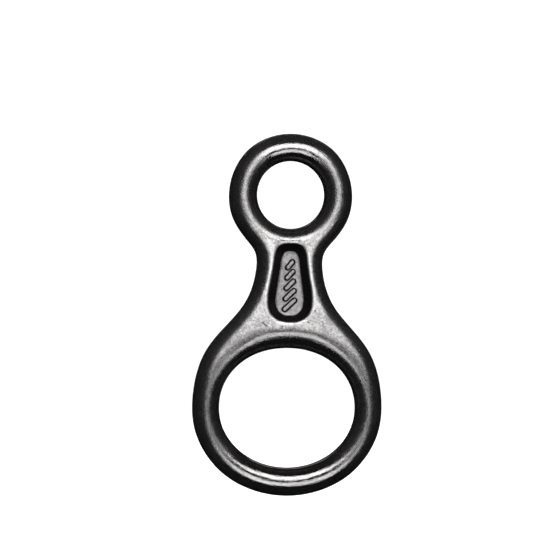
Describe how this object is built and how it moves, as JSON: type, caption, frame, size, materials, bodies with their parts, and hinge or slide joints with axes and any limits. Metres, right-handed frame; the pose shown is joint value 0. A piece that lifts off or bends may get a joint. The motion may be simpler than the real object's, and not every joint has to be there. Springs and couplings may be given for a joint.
{
  "type": "figure-eight rope descender",
  "caption": "One-piece forged figure-eight descender: small round connector eye, large oval rope eye and a waisted web with a blind pocket on each face.",
  "frame": {"origin": "centre of the small round eye, at mid thickness", "axes": "+Z from the large eye towards the small eye, along the length; X across the width; Y through the thickness, with the front face towards -Y"},
  "size_m": [0.0762, 0.012, 0.1452],
  "materials": {
    "black_anodised_aluminium": "black anodised: glossy tumbled rings, satin web and pocket floor"
  },
  "bodies": {
    "root": {"forged_body": "black_anodised_aluminium"}
  },
  "joints": []
}
